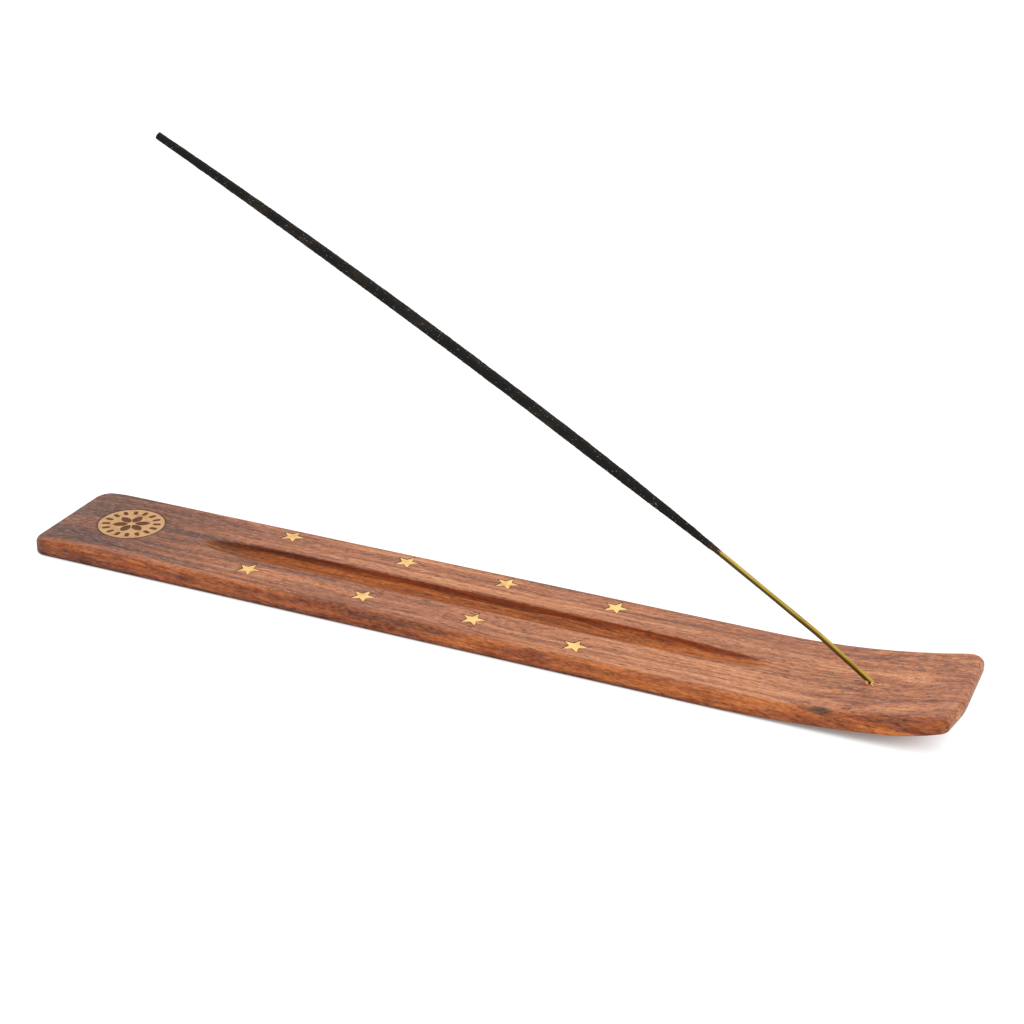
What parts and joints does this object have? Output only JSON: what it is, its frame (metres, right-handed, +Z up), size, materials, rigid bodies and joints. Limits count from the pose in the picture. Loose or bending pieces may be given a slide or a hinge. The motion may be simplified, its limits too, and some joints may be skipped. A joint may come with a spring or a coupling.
{
  "type": "incense stick holder",
  "caption": "Ski-shaped wooden incense holder with an ash groove, inlaid brass stars and roundel, and an incense stick leaning out of a slanted hole.",
  "frame": {"origin": "middle of the tray's footprint, on the table", "axes": "+X along the tray to its upturned end, +Y across it to the back, +Z up"},
  "size_m": [0.254, 0.0358, 0.1178],
  "materials": {
    "wood": "satin",
    "brass": "satin",
    "filler": "matte",
    "bamboo": "matte",
    "incense": "matte"
  },
  "bodies": {
    "holder": {"wooden_tray": "wood", "brass_star_front_1": "brass", "brass_star_front_2": "brass", "brass_star_front_3": "brass", "brass_star_front_4": "brass", "brass_star_back_1": "brass", "brass_star_back_2": "brass", "brass_star_back_3": "brass", "brass_star_back_4": "brass", "star_filler_front_1": "filler", "star_filler_front_2": "filler", "star_filler_front_3": "filler", "star_filler_front_4": "filler", "star_filler_back_1": "filler", "star_filler_back_2": "filler", "star_filler_back_3": "filler", "star_filler_back_4": "filler", "brass_roundel": "brass", "roundel_filler": "filler"},
    "stick": {"bamboo_core": "bamboo", "incense_coat": "incense"}
  },
  "joints": [
    {"name": "stick_lift", "type": "slide", "parent": "holder", "child": "stick", "axis": [-0.8171, 0, 0.5764], "range_m": [0, 0.012]}
  ]
}
